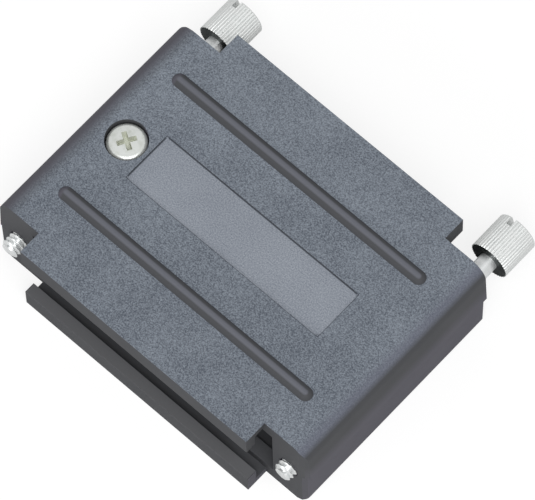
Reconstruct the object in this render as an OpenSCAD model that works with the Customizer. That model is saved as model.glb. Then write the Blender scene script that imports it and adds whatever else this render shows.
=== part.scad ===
// Closed adapter hood for a 25-way D-subminiature connector.
// Two moulded half shells, two closing screws with captive nuts, and two
// captive thumbscrews that slide and turn on the 47.04 mm jackscrew pitch.
// X runs along the connector, -Y is the connector side, +Z is up and the
// lower shell rests on z = 0.

/* [Hood body] */

// Width over the upper shell's rim, at the parting line
body_w = 53.7; // [53.4:0.1:66]
// Depth between the front and back notch walls
body_d = 34.3; // [28:0.1:42]
// Height of the closed hood without its ribs
body_h = 16.6; // [16:0.1:20]
// Draft of the upper shell's side walls in degrees
side_draft = 3; // [0.5:0.5:5]
// Radius along the upper shell's side edges
top_edge_r = 2.7; // [1.5:0.1:3.4]
// How far the lower shell is set in under the rim at the left end
rim_step_left = 0.2; // [0.1:0.05:0.6]
// How far the lower shell is set in under the rim at the right end
rim_step_right = 0.5; // [0.1:0.05:0.6]
// Radius along the lower shell's side edges
base_edge_r = 0.8; // [0.4:0.1:1.5]
// Radius of the upright corners at the back left and the front right
corner_r = 1.4; // [0.6:0.1:2]

/* [Connector mouths] */

// Width of the lips that frame both mouths
lip_w = 39.1; // [38.9:0.1:41]
// How far the lips stand out of the notch walls
lip_l = 3.45; // [3:0.05:5]
// Clear height between the upper and the lower lip
lip_gap = 9.5; // [9:0.1:11]
// Width of the groove that holds the connector flange
groove_w = 1.85; // [1.2:0.05:2.2]
// Clear height inside the flange groove
groove_h = 14.2; // [12.8:0.1:14.6]

/* [Inside] */

// Thickness of the top and bottom walls
wall = 1.8; // [1.2:0.1:2.2]
// Thickness of the front and back notch walls
end_wall = 2; // [1.6:0.1:2.6]
// Thickness of the side walls beside the thumbscrew chambers
side_wall = 1.2; // [0.8:0.1:1.5]
// Width of the cavity and of the connector window
window_w = 41.6; // [41:0.1:42]
// Height of the window behind the flange groove
window_h = 11.2; // [11:0.1:12]

/* [Top face] */

// Overall length of each half-round rib
rib_l = 43.5; // [36:0.5:46]
// Width of each rib
rib_w = 2.1; // [1.4:0.1:3]
// Height of each rib
rib_h = 0.7; // [0.4:0.1:1]
// Distance between the two ribs' centre lines
rib_pitch = 21.5; // [17:0.5:24]
// Length of the sunk label field
label_w = 33.3; // [26:0.1:36]
// Depth of the label field across the hood
label_d = 7.95; // [6:0.05:12]
// How deep the label field is sunk
label_sink = 0.3; // [0.2:0.05:0.5]

/* [Closing screws] */

// Distance of each closing screw from the hood's middle
closing_x = 20.1; // [19.8:0.1:20.4]
// Diameter of the pan head
pan_d = 5.5; // [4.6:0.02:6]
// Height of the pan head
pan_h = 2.03; // [1.6:0.01:2.5]
// Room around the pan head in its counterbore, on the diameter
pan_room = 0.35; // [0.2:0.05:0.8]
// How deep the pan head lies under the surface
pan_sink = 0.2; // [0.1:0.01:0.8]
// Outside diameter of the closing screws' thread
closing_d = 2.76; // [2.4:0.02:2.9]
// Screw length under the head
closing_l = 12.7; // [10.5:0.1:13]
// Nut size across its flats
nut_af = 4.76; // [4:0.02:5.8]
// Nut thickness
nut_h = 1.6; // [1.4:0.1:2]

/* [Thumbscrews] */

// Distance between the two thumbscrew axes
screw_pitch = 47.04; // [46.9:0.02:47.2]
// Outside diameter of the knurled heads
thumb_d = 5.92; // [5:0.02:7]
// Length of the knurled heads
thumb_l = 5.7; // [5:0.1:8]
// Space between the right head, as it rests, and the notch wall
thumb_gap = 4.16; // [3.4:0.02:5]
// How much further in the left thumbscrew rests than the right one
left_push = 0.7; // [0:0.1:2]
// Ridges around each head
knurl_count = 40; // [24:4:44]
// Outside diameter of the thread
thread_d = 2.84; // [2.2:0.02:3.4]
// Diameter of the smooth shank
shank_d = 2.65; // [2.4:0.05:2.7]
// Threaded length
thread_l = 5.5; // [4:0.5:7]
// Thread standing out of the front notch wall
thread_out = 1.4; // [1:0.1:2]
// Turn of the left head's slot away from upright, in degrees
slot_turn_left = 20; // [0:1:180]
// Turn of the right head's slot away from upright, in degrees
slot_turn_right = 14; // [0:1:180]
// Room around the studs in the notch walls, on the diameter
stud_room = 0.26; // [0.2:0.02:0.5]
// Outside diameter of the retaining clips
clip_d = 4; // [3.6:0.1:4.2]
// Thickness of the retaining clips
clip_t = 0.5; // [0.4:0.1:0.7]
// How far the right thumbscrew can be drawn back from its rest
draw_back = 2; // [1.5:0.1:2.5]

/* [Hidden] */

$fn = 64;
// shells
mid = body_h / 2;
half_w = body_w / 2;
half_d = body_d / 2;
lower_left_w = half_w - rim_step_left;
lower_right_w = half_w - rim_step_right;
lower_draft = 0.5;
corner_steps = 3;
// the side edge's arc stands this far proud of the drafted side, so that they cross
edge_proud = 0.01;
lip_full_d = body_d + 2 * lip_l;
lip_t = mid - lip_gap / 2;
past = 1;
// inside
axis_x = screw_pitch / 2;
partition = 1;
chamber_in = window_w / 2 + partition;
chamber_out = min(lower_left_w, lower_right_w) - side_wall;
cavity_d = body_d - 2 * end_wall;
// lap joint along the sides
tongue_t = 0.65;
tongue_h = 0.8;
tongue_set = 0.15;
tongue_x = chamber_out + tongue_set;
lap_gap = 0.12;
// top face
rib_ball_r = (rib_w * rib_w / 4 + rib_h * rib_h) / (2 * rib_h);
label_r = 0.8;
// closing hardware
pan_r = pan_d / 2;
pan_edge_r = 0.6;
counterbore_r = (pan_d + pan_room) / 2;
counterbore_h = pan_h + pan_sink;
screw_slip = 0.17;
screw_hole_r = closing_d / 2 + screw_slip;
nut_bore_slip = 0.04;
nut_bore_r = closing_d / 2 + nut_bore_slip;
nut_corner_r = nut_af / sqrt(3);
nut_slip = 0.1;
boss_wall = 0.4;
boss_r = max(counterbore_r, nut_corner_r + nut_slip) + boss_wall;
screw_tip_z = body_h - counterbore_h - closing_l;
tip_room = 0.4;
blind_hole_z = screw_tip_z - tip_room;
tip_past_nut = 1.4;
nut_slot_z = screw_tip_z + tip_past_nut;
cross_w = 0.8;
cross_l = 3;
cross_deep = 1.3;
cross_turn = 60;
// thumbscrews, measured along the axis from the hood's middle
head_near = half_d + thumb_gap;
head_far = head_near + thumb_l;
slot_w = 0.8;
slot_deep = 1.2;
head_chamfer = 0.12;
knurl_size = 0.24;
slot_floor = 0.4;
stud_end = head_far - slot_deep - slot_floor;
stud_hole_d = max(thread_d, shank_d) + stud_room;
tip = half_d + thread_out;
tip_chamfer = 0.3;
thread_start = tip - thread_l;
stop_gap = 0.04;
clip_back = half_d - end_wall - draw_back - stop_gap;
clip_front = clip_back - clip_t;
clip_play = 0.05;
groove_r = 0.95;
clip_bore_r = 1;
clip_mouth = 1.7;
pocket_room = 0.3;
pocket_r = clip_d / 2 + pocket_room;
pocket_front = clip_front - thumb_gap - pocket_room;
// the tongue keeps clear of the front wall and of the clip's pocket
tongue_front = 2 - cavity_d / 2;
tongue_clear = 1.2;
tongue_back = pocket_front - tongue_clear;

plastic = [0.30, 0.32, 0.36];
steel = [0.82, 0.83, 0.84];
nickel = [0.90, 0.91, 0.90];

// points of a round upright corner, a quarter turn in flat steps
function corner(x, y, start) = [
    for (i = [0:corner_steps])
        [x - sign(x) * corner_r + corner_r * cos(start + i * 90 / corner_steps),
         y - sign(y) * corner_r + corner_r * sin(start + i * 90 / corner_steps)]
];

// plan of a half shell, sharp at its front left and its back right
module plan(left, right) {
    polygon(concat([[-left, -half_d]], corner(right, -half_d, 270),
                   [[right, half_d]], corner(-left, half_d, 90)));
}

// places its children on the under side, end for end
module turned_over() {
    translate([0, 0, mid])
        rotate([0, 180, 0])
            translate([0, 0, -mid])
                children();
}

// solid half shell standing on its parting face, with drafted and rounded sides
module half_blank(left, right, draft, edge_r) {
    tangent_in = (mid - edge_r) * tan(draft) + edge_r / cos(draft);
    draft_in = tangent_in - edge_r * cos(draft);
    draft_z = mid - edge_r + edge_r * sin(draft);
    edge_in = tangent_in - edge_proud;
    intersection() {
        rotate([90, 0, 0])
            linear_extrude(height = body_d, center = true)
                union() {
                    polygon([[-left, 0], [right, 0], [right - draft_in, draft_z],
                             [right - edge_in, mid], [edge_in - left, mid],
                             [draft_in - left, draft_z]]);
                    for (x = [edge_in - left, right - edge_in])
                        translate([x, mid - edge_r])
                            circle(r = edge_r);
                }
        linear_extrude(height = mid)
            plan(left, right);
    }
}

// lip plate of one half, running through the body, from z = 0 up
module lip_plate() {
    translate([-lip_w / 2, -lip_full_d / 2, 0])
        cube([lip_w, lip_full_d, lip_t]);
}

// room for the connector: cavity, window, mouths and flange groove
module connector_room() {
    translate([-window_w / 2, -cavity_d / 2, wall])
        cube([window_w, cavity_d, body_h - 2 * wall]);
    translate([-window_w / 2, -half_d - 0.01, mid - window_h / 2])
        cube([window_w, end_wall + 0.02, window_h]);
    translate([-lip_w / 2, half_d - end_wall - 0.01, mid - lip_gap / 2])
        cube([lip_w, end_wall + 0.02, lip_gap]);
    translate([-lip_w / 2 - past, -half_d - groove_w, mid - groove_h / 2])
        cube([lip_w + 2 * past, groove_w, groove_h]);
}

// hollow beside the cavity that a thumbscrew runs through
module screw_chambers() {
    for (x = [-1, 1])
        translate([x * (chamber_in + chamber_out) / 2, 0, mid])
            cube([chamber_out - chamber_in, cavity_d, body_h - 2 * wall], center = true);
}

// holes in both notch walls and the pocket that the clip travels in
module stud_passage() {
    for (x = [-1, 1])
        translate([x * axis_x, 0, mid])
            rotate([-90, 0, 0]) {
                cylinder(d = stud_hole_d, h = body_d + 2 * past, center = true);
                translate([0, 0, pocket_front])
                    cylinder(r = pocket_r, h = half_d - end_wall - pocket_front);
            }
}

// screw boss between the outer wall and the parting line
module screw_boss(x) {
    translate([x, 0, wall / 2])
        cylinder(r = boss_r, h = mid - wall / 2);
}

// blind hole and side slot for a nut, opening towards the cavity
module nut_seat(x, inward) {
    slot_start = nut_corner_r + nut_slip;
    slot_end = boss_r + past;
    translate([x, 0, blind_hole_z])
        cylinder(r = screw_hole_r, h = mid);
    translate([x + inward * (slot_end - slot_start) / 2, 0, nut_slot_z + (nut_h + nut_slip) / 2])
        cube([slot_end + slot_start, nut_af + 2 * nut_slip, nut_h + nut_slip], center = true);
}

// counterbored screw hole from the outside
module screw_seat(x) {
    translate([x, 0, -past])
        cylinder(r = counterbore_r, h = counterbore_h + past);
    translate([x, 0, 0])
        cylinder(r = screw_hole_r, h = body_h / 2 + past);
}

// closing features of one half, as they lie in the lower shell
module closing_bosses() {
    screw_boss(closing_x);
    screw_boss(-closing_x);
}

module closing_holes() {
    screw_seat(closing_x);
    nut_seat(-closing_x, 1);
}

// half-round rib with round ends, on the top face
module rib(y) {
    straight = rib_l / 2 - rib_w / 2;
    intersection() {
        translate([0, y, body_h + rib_h - rib_ball_r])
            rotate([0, 90, 0])
                union() {
                    cylinder(r = rib_ball_r, h = 2 * straight, center = true);
                    for (x = [-1, 1])
                        translate([0, 0, x * straight])
                            sphere(r = rib_ball_r);
                }
        translate([-rib_l, y - rib_w, body_h - wall / 2])
            cube([2 * rib_l, 2 * rib_w, wall]);
    }
}

// sunk label field in the top face
module label_field() {
    translate([0, 0, body_h - label_sink])
        linear_extrude(height = past) {
            square([label_w - 2 * label_r, label_d], center = true);
            square([label_w, label_d - 2 * label_r], center = true);
            for (x = [-1, 1], y = [-1, 1])
                translate([x * (label_w / 2 - label_r), y * (label_d / 2 - label_r)])
                    circle(r = label_r);
        }
}

// strip along both sides for the lap joint, spare is the slip all round
module lap_strip(spare) {
    for (x = [-1, 1])
        translate([x * (tongue_x + tongue_t / 2), (tongue_front + tongue_back) / 2, mid])
            cube([tongue_t + 2 * spare, tongue_back - tongue_front + 2 * spare,
                  2 * tongue_h + 2 * spare], center = true);
}

module upper_shell() {
    color(plastic)
        difference() {
            union() {
                difference() {
                    union() {
                        translate([0, 0, mid])
                            half_blank(half_w, half_w, side_draft, top_edge_r);
                        translate([0, 0, body_h - lip_t])
                            lip_plate();
                        for (y = [-1, 1])
                            rib(y * rib_pitch / 2);
                    }
                    connector_room();
                    screw_chambers();
                }
                turned_over()
                    closing_bosses();
            }
            turned_over()
                closing_holes();
            stud_passage();
            label_field();
            lap_strip(lap_gap);
        }
}

module lower_shell() {
    color(plastic) {
        difference() {
            union() {
                difference() {
                    union() {
                        translate([0, 0, mid])
                            mirror([0, 0, 1])
                                half_blank(lower_left_w, lower_right_w, lower_draft, base_edge_r);
                        lip_plate();
                    }
                    connector_room();
                    screw_chambers();
                }
                closing_bosses();
                intersection() {
                    lap_strip(0);
                    translate([-half_w, -half_d, mid - tongue_h / 2])
                        cube([2 * half_w, body_d, mid]);
                }
            }
            closing_holes();
            stud_passage();
        }
    }
}

// pan head machine screw with a cross recess, as it goes in from above
module closing_screw() {
    translate([-closing_x, 0, body_h - counterbore_h]) {
        difference() {
            rotate_extrude()
                union() {
                    square([pan_r - pan_edge_r, pan_h]);
                    square([pan_r, pan_h - pan_edge_r]);
                    intersection() {
                        translate([pan_r - pan_edge_r, pan_h - pan_edge_r])
                            circle(r = pan_edge_r);
                        square([pan_r, pan_h]);
                    }
                }
            for (a = [0, 90])
                rotate([0, 0, a + cross_turn])
                    translate([-cross_l / 2, -cross_w / 2, pan_h - cross_deep])
                        cube([cross_l, cross_w, cross_deep + past]);
        }
        translate([0, 0, -closing_l])
            cylinder(d = closing_d, h = closing_l + 0.1);
    }
}

// hexagon nut, drawn up against the roof of its slot in the lower boss
module closing_nut() {
    translate([-closing_x, 0, nut_slot_z + nut_slip])
        difference() {
            cylinder(r = nut_corner_r, h = nut_h, $fn = 6);
            translate([0, 0, -past])
                cylinder(r = nut_bore_r, h = nut_h + 2 * past);
        }
}

module closing_screw_top() {
    color(steel)
        closing_screw();
}

module closing_screw_bottom() {
    color(steel)
        turned_over()
            closing_screw();
}

module closing_nut_lower() {
    color(steel)
        closing_nut();
}

module closing_nut_upper() {
    color(steel)
        turned_over()
            closing_nut();
}

// puts its children on a thumbscrew axis, local z pointing out of the front
module on_screw_axis(side, push) {
    translate([side * axis_x, -push, mid])
        rotate([90, 0, 0])
            children();
}

// straight knurl: a round bar with V grooves along it
module knurl_outline() {
    difference() {
        circle(d = thumb_d);
        for (i = [0:knurl_count - 1])
            rotate(i * 360 / knurl_count)
                translate([thumb_d / 2, 0])
                    rotate(45)
                        square(knurl_size, center = true);
    }
}

// knurled head with a screwdriver slot and a bore for the stud
module thumb_head(turn) {
    thumb_r = thumb_d / 2;
    rotate([0, 0, turn])
        difference() {
            intersection() {
                translate([0, 0, -head_far])
                    linear_extrude(height = thumb_l)
                        knurl_outline();
                rotate_extrude()
                    polygon([[0, -head_far], [thumb_r - head_chamfer, -head_far],
                             [thumb_r, -head_far + head_chamfer],
                             [thumb_r, -head_near], [0, -head_near]]);
            }
            translate([0, 0, -stud_end])
                cylinder(d = shank_d, h = stud_end);
            translate([-slot_w / 2, -thumb_d, -head_far - past])
                cube([slot_w, 2 * thumb_d, slot_deep + past]);
        }
}

// stud: plain end in the head, clip groove, smooth shank and threaded tip
module thumb_stud() {
    shank_r = shank_d / 2;
    thread_r = thread_d / 2;
    groove_back = -clip_back - clip_play;
    groove_front = -clip_front + clip_play;
    rotate_extrude()
        polygon([[0, -stud_end], [shank_r, -stud_end], [shank_r, groove_back],
                 [groove_r, groove_back], [groove_r, groove_front],
                 [shank_r, groove_front], [shank_r, thread_start],
                 [thread_r, thread_start], [thread_r, tip - tip_chamfer],
                 [thread_r - tip_chamfer, tip], [0, tip]]);
}

// open clip that sits in the stud's groove
module retaining_clip() {
    translate([0, 0, -clip_back])
        difference() {
            cylinder(d = clip_d, h = clip_t);
            translate([0, 0, -past])
                cylinder(r = clip_bore_r, h = clip_t + 2 * past);
            translate([-clip_mouth / 2, 0, -past])
                cube([clip_mouth, clip_d, clip_t + 2 * past]);
        }
}

module thumbscrew_head_left() {
    color(nickel)
        on_screw_axis(-1, left_push)
            thumb_head(slot_turn_left);
}

module thumbscrew_head_right() {
    color(nickel)
        on_screw_axis(1, 0)
            thumb_head(slot_turn_right);
}

module thumbscrew_stud_left() {
    color(steel)
        on_screw_axis(-1, left_push)
            thumb_stud();
}

module thumbscrew_stud_right() {
    color(steel)
        on_screw_axis(1, 0)
            thumb_stud();
}

module retaining_clip_left() {
    color(steel)
        on_screw_axis(-1, left_push)
            retaining_clip();
}

module retaining_clip_right() {
    color(steel)
        on_screw_axis(1, 0)
            retaining_clip();
}

upper_shell();
lower_shell();
closing_screw_top();
closing_screw_bottom();
closing_nut_lower();
closing_nut_upper();
thumbscrew_head_left();
thumbscrew_stud_left();
retaining_clip_left();
thumbscrew_head_right();
thumbscrew_stud_right();
retaining_clip_right();
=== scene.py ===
"""Looks of a flat two-part hood for a 25-way D-subminiature connector.

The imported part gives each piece's place and outside size. The two moulded
shells are softened copies of their exact solids, the screws are drawn anew
with their knurls, threads and cross recesses, the nuts and clips keep their
exact solids, and each finish is a small node-based material.

Left is -X, where a closing screw's head shows on the top, front is -Y, where
the connector goes in, and up is +Z. Lengths are metres, apart from the
camera's lens and sensor, and a size written in millimetres is multiplied by
MM.
"""

from __future__ import annotations

import logging
import math
from collections.abc import Callable
from dataclasses import dataclass
from enum import Enum
from typing import Any

import bmesh
import bpy
import numpy as np
from mathutils import Matrix, Vector
from numpy.typing import NDArray


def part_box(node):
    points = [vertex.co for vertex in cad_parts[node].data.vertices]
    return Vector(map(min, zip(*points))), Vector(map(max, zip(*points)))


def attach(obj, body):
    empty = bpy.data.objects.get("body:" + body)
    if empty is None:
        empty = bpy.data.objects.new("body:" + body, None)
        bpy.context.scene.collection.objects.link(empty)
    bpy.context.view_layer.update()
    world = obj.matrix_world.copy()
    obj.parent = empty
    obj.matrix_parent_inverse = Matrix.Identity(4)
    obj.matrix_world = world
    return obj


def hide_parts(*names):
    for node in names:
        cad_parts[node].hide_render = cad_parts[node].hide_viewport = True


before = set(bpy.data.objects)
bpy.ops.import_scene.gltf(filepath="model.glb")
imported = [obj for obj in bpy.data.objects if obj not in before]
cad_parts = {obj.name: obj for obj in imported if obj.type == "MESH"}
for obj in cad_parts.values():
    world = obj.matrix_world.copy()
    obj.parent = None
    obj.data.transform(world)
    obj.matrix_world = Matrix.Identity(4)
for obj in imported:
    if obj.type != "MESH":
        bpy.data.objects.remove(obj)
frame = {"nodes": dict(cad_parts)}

LOG = logging.getLogger("hood")
MM = 0.001
# Points that lie nearer to each other than this are one point.
MERGE = 1e-7
Array = NDArray[np.float64]
Colour = tuple[float, float, float]
Feed = bpy.types.NodeSocket | Colour | float


class Side(Enum):
    """The two ends of the hood, as the nodes' names spell them."""

    LEFT = "left"
    RIGHT = "right"


# ---------------------------------------------------------------- meshes


@dataclass(frozen=True)
class Surface:
    """Vertices and faces of one closed surface.

    Attributes:
        points: one row of X, Y, Z per vertex.
        faces: vertex numbers of each face, counter-clockwise from outside.
    """

    points: Array
    faces: list[tuple[int, ...]]

    def moved(self, turn: Array) -> Surface:
        """The same surface after a turn about the origin.

        Args:
            turn: three by three turn, applied to every point.

        Returns:
            The turned surface.
        """
        return Surface(self.points @ turn.T, self.faces)

    def mesh(self, name: str) -> bpy.types.Mesh:
        """A Blender mesh of this surface.

        Args:
            name: the mesh's name.

        Returns:
            The mesh, with its doubles merged and its faces pointing outwards.
        """
        data = bpy.data.meshes.new(name)
        data.from_pydata(self.points.tolist(), [], self.faces)
        clean = bmesh.new()
        clean.from_mesh(data)
        bmesh.ops.remove_doubles(clean, verts=clean.verts, dist=MERGE)
        bmesh.ops.recalc_face_normals(clean, faces=clean.faces)
        clean.to_mesh(data)
        clean.free()
        return data


def turned(
    radius: Array, height: Array, count: int, shape: Callable[[Array, Array], Array]
) -> Surface:
    """A profile carried round the Z axis, closed at both ends.

    Point (i, j) is at radius r = radius[i] * shape(angle_j, height_i) and
    stands at (r cos angle_j, r sin angle_j, height[i]); the first and last
    rings close on a point of the axis.

    Args:
        radius: distance from the axis of each ring.
        height: Z of each ring, from the lower end to the upper one.
        count: points on each ring.
        shape: factor on the radius for an angle and a height.

    Returns:
        The closed surface.
    """
    angle = np.linspace(0.0, 2.0 * math.pi, count, endpoint=False)
    a, z = np.meshgrid(angle, height)
    r = np.repeat(radius[:, None], count, axis=1) * shape(a, z)
    rings = np.stack([r * np.cos(a), r * np.sin(a), z], axis=-1).reshape(-1, 3)
    ends = np.array([[0.0, 0.0, height[0]], [0.0, 0.0, height[-1]]])
    points = np.concatenate([rings, ends])
    rows = len(radius)
    i, j = np.meshgrid(np.arange(rows - 1), np.arange(count), indexing="ij")
    k = (j + 1) % count
    below, above = i * count, (i + 1) * count
    quads = np.stack([below + j, below + k, above + k, above + j], -1)
    ring = np.arange(count)
    after = (ring + 1) % count
    low = np.stack([np.full(count, rows * count), after, ring], -1)
    top = (rows - 1) * count
    high = np.stack([np.full(count, rows * count + 1), top + ring, top + after], -1)
    faces = [tuple(f) for f in quads.reshape(-1, 4).tolist()]
    faces += [tuple(f) for f in low.tolist()] + [tuple(f) for f in high.tolist()]
    return Surface(points, faces)


def block(low: Array, high: Array, taper: float = 1.0) -> Surface:
    """A box whose lower face is scaled about its middle.

    Corner (x, y, z) of the unit cube goes to low + (high - low) * corner;
    the four corners at the low Z are drawn in towards the middle by taper.

    Args:
        low: lowest corner.
        high: highest corner.
        taper: size of the lower face as a share of the upper one.

    Returns:
        The closed surface.
    """
    unit = np.array([[x, y, z] for z in (0, 1) for y in (0, 1) for x in (0, 1)], float)
    points = low + (high - low) * unit
    middle = (low + high)[:2] / 2.0
    points[:4, :2] = middle + (points[:4, :2] - middle) * taper
    faces = [(0, 2, 3, 1), (4, 5, 7, 6), (0, 1, 5, 4), (2, 6, 7, 3), (0, 4, 6, 2), (1, 3, 7, 5)]
    return Surface(points, faces)


def about_z(degrees: float) -> Array:
    """The turn about the Z axis by an angle.

    Its rows are (cos, -sin, 0), (sin, cos, 0) and (0, 0, 1).

    Args:
        degrees: the angle, counter-clockwise when seen from above.

    Returns:
        The three by three turn.
    """
    angle = math.radians(degrees)
    cos, sin = math.cos(angle), math.sin(angle)
    return np.array([[cos, -sin, 0.0], [sin, cos, 0.0], [0.0, 0.0, 1.0]])


def thread_groove(angle: Array, height: Array, pitch: float, depth: float) -> Array:
    """How deep a thread's groove is, as a share of the outside radius.

    The phase is the fraction of height / pitch - angle / (2 pi), so the thread
    climbs one pitch a turn. The groove is a triangle over the phase: 0 at both
    its ends and the full depth halfway.

    Args:
        angle: angle round the axis of each point.
        height: height of each point.
        pitch: pitch of the thread.
        depth: full depth as a share of the radius.

    Returns:
        The groove's depth at each point.
    """
    phase = (height / pitch - angle / (2.0 * math.pi)) % 1.0
    return depth * (1.0 - np.abs(2.0 * phase - 1.0))


def move_mesh(mesh: bpy.types.Mesh, turn: Array, shift: Array) -> None:
    """Turns a mesh's points about the origin and then shifts them.

    Args:
        mesh: the mesh to move.
        turn: three by three turn.
        shift: the shift after the turn.
    """
    points = np.empty(len(mesh.vertices) * 3)
    mesh.vertices.foreach_get("co", points)
    mesh.vertices.foreach_set("co", (points.reshape(-1, 3) @ turn.T + shift).ravel())


def cut_away(mesh: bpy.types.Mesh, tools: list[Surface]) -> bpy.types.Mesh:
    """A mesh with other solids taken out of it.

    Args:
        mesh: the solid to cut.
        tools: the closed surfaces to take away.

    Returns:
        A new mesh of what is left.
    """
    body = bpy.data.objects.new("cut_body", mesh)
    bpy.context.scene.collection.objects.link(body)
    cutters = []
    for tool in tools:
        cutter = bpy.data.objects.new("cut_tool", tool.mesh("cut_tool"))
        bpy.context.scene.collection.objects.link(cutter)
        step = body.modifiers.new("cut", "BOOLEAN")
        step.operation = "DIFFERENCE"
        step.solver = "EXACT"
        step.object = cutter
        cutters.append(cutter)
    graph = bpy.context.evaluated_depsgraph_get()
    result = bpy.data.meshes.new_from_object(body.evaluated_get(graph))
    for item in [body, *cutters]:
        bpy.data.objects.remove(item)
    return result


def smooth_by_angle(mesh: bpy.types.Mesh, degrees: float) -> None:
    """Shades a mesh smooth, with sharp edges where faces meet at more than an angle.

    Args:
        mesh: the mesh to shade.
        degrees: the smallest angle that stays sharp.
    """
    mesh.polygons.foreach_set("use_smooth", np.ones(len(mesh.polygons), bool))
    mesh.set_sharp_from_angle(angle=math.radians(degrees))


def place(
    name: str,
    mesh: bpy.types.Mesh,
    body: str,
    finish: Finish,
    second: Finish | None = None,
) -> bpy.types.Object:
    """Puts a mesh in the scene as a finished piece of the part.

    Args:
        name: the piece's name.
        mesh: its mesh, already in the part's frame.
        body: the moving body that it rides on.
        finish: the finish that it wears.
        second: the finish of the faces with material number 1, if any.

    Returns:
        The piece.
    """
    piece = bpy.data.objects.new(name, mesh)
    bpy.context.scene.collection.objects.link(piece)
    numbers = np.zeros(len(mesh.polygons), dtype=np.int32)
    if second is not None:
        mesh.polygons.foreach_get("material_index", numbers)
    mesh.materials.clear()
    mesh.materials.append(finish.material())
    if second is not None:
        mesh.materials.append(second.material())
    mesh.polygons.foreach_set("material_index", numbers)
    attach(piece, body)
    LOG.info("%s: %d faces on %s", name, len(mesh.polygons), body)
    return piece


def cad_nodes() -> dict[str, bpy.types.Object]:
    """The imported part's own nodes by name."""
    return frame["nodes"]


def node_box(node: str) -> tuple[Array, Array, Array]:
    """Lowest corner, highest corner and middle of a node's box.

    Args:
        node: the CAD node's name.

    Returns:
        The three points.
    """
    low, high = (np.array(v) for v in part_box(node))
    return low, high, (low + high) / 2.0


# -------------------------------------------------------------- finishes


def srgb(red: int, green: int, blue: int) -> Colour:
    """Scene-linear colour of an eight-bit display colour.

    A level up to 0.04045 is divided by 12.92, and a higher one goes to
    ((level + 0.055) / 1.055) to the power of 2.4.

    Args:
        red: display red, 0 to 255.
        green: display green.
        blue: display blue.

    Returns:
        The linear red, green and blue.
    """
    levels = np.array([red, green, blue]) / 255.0
    linear = np.where(levels <= 0.04045, levels / 12.92, ((levels + 0.055) / 1.055) ** 2.4)
    return tuple(float(v) for v in linear)


@dataclass(frozen=True)
class Spot:
    """The sockets that tell a material which point of a piece it colours.

    Attributes:
        x: the point's X on the piece.
        y: the point's Y.
        z: the point's height.
        right: how far the surface looks towards the scene's +X, from -1 to 1.
        back: how far it looks towards the scene's +Y, from -1 to 1.
    """

    x: bpy.types.NodeSocket
    y: bpy.types.NodeSocket
    z: bpy.types.NodeSocket
    right: bpy.types.NodeSocket
    back: bpy.types.NodeSocket


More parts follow.
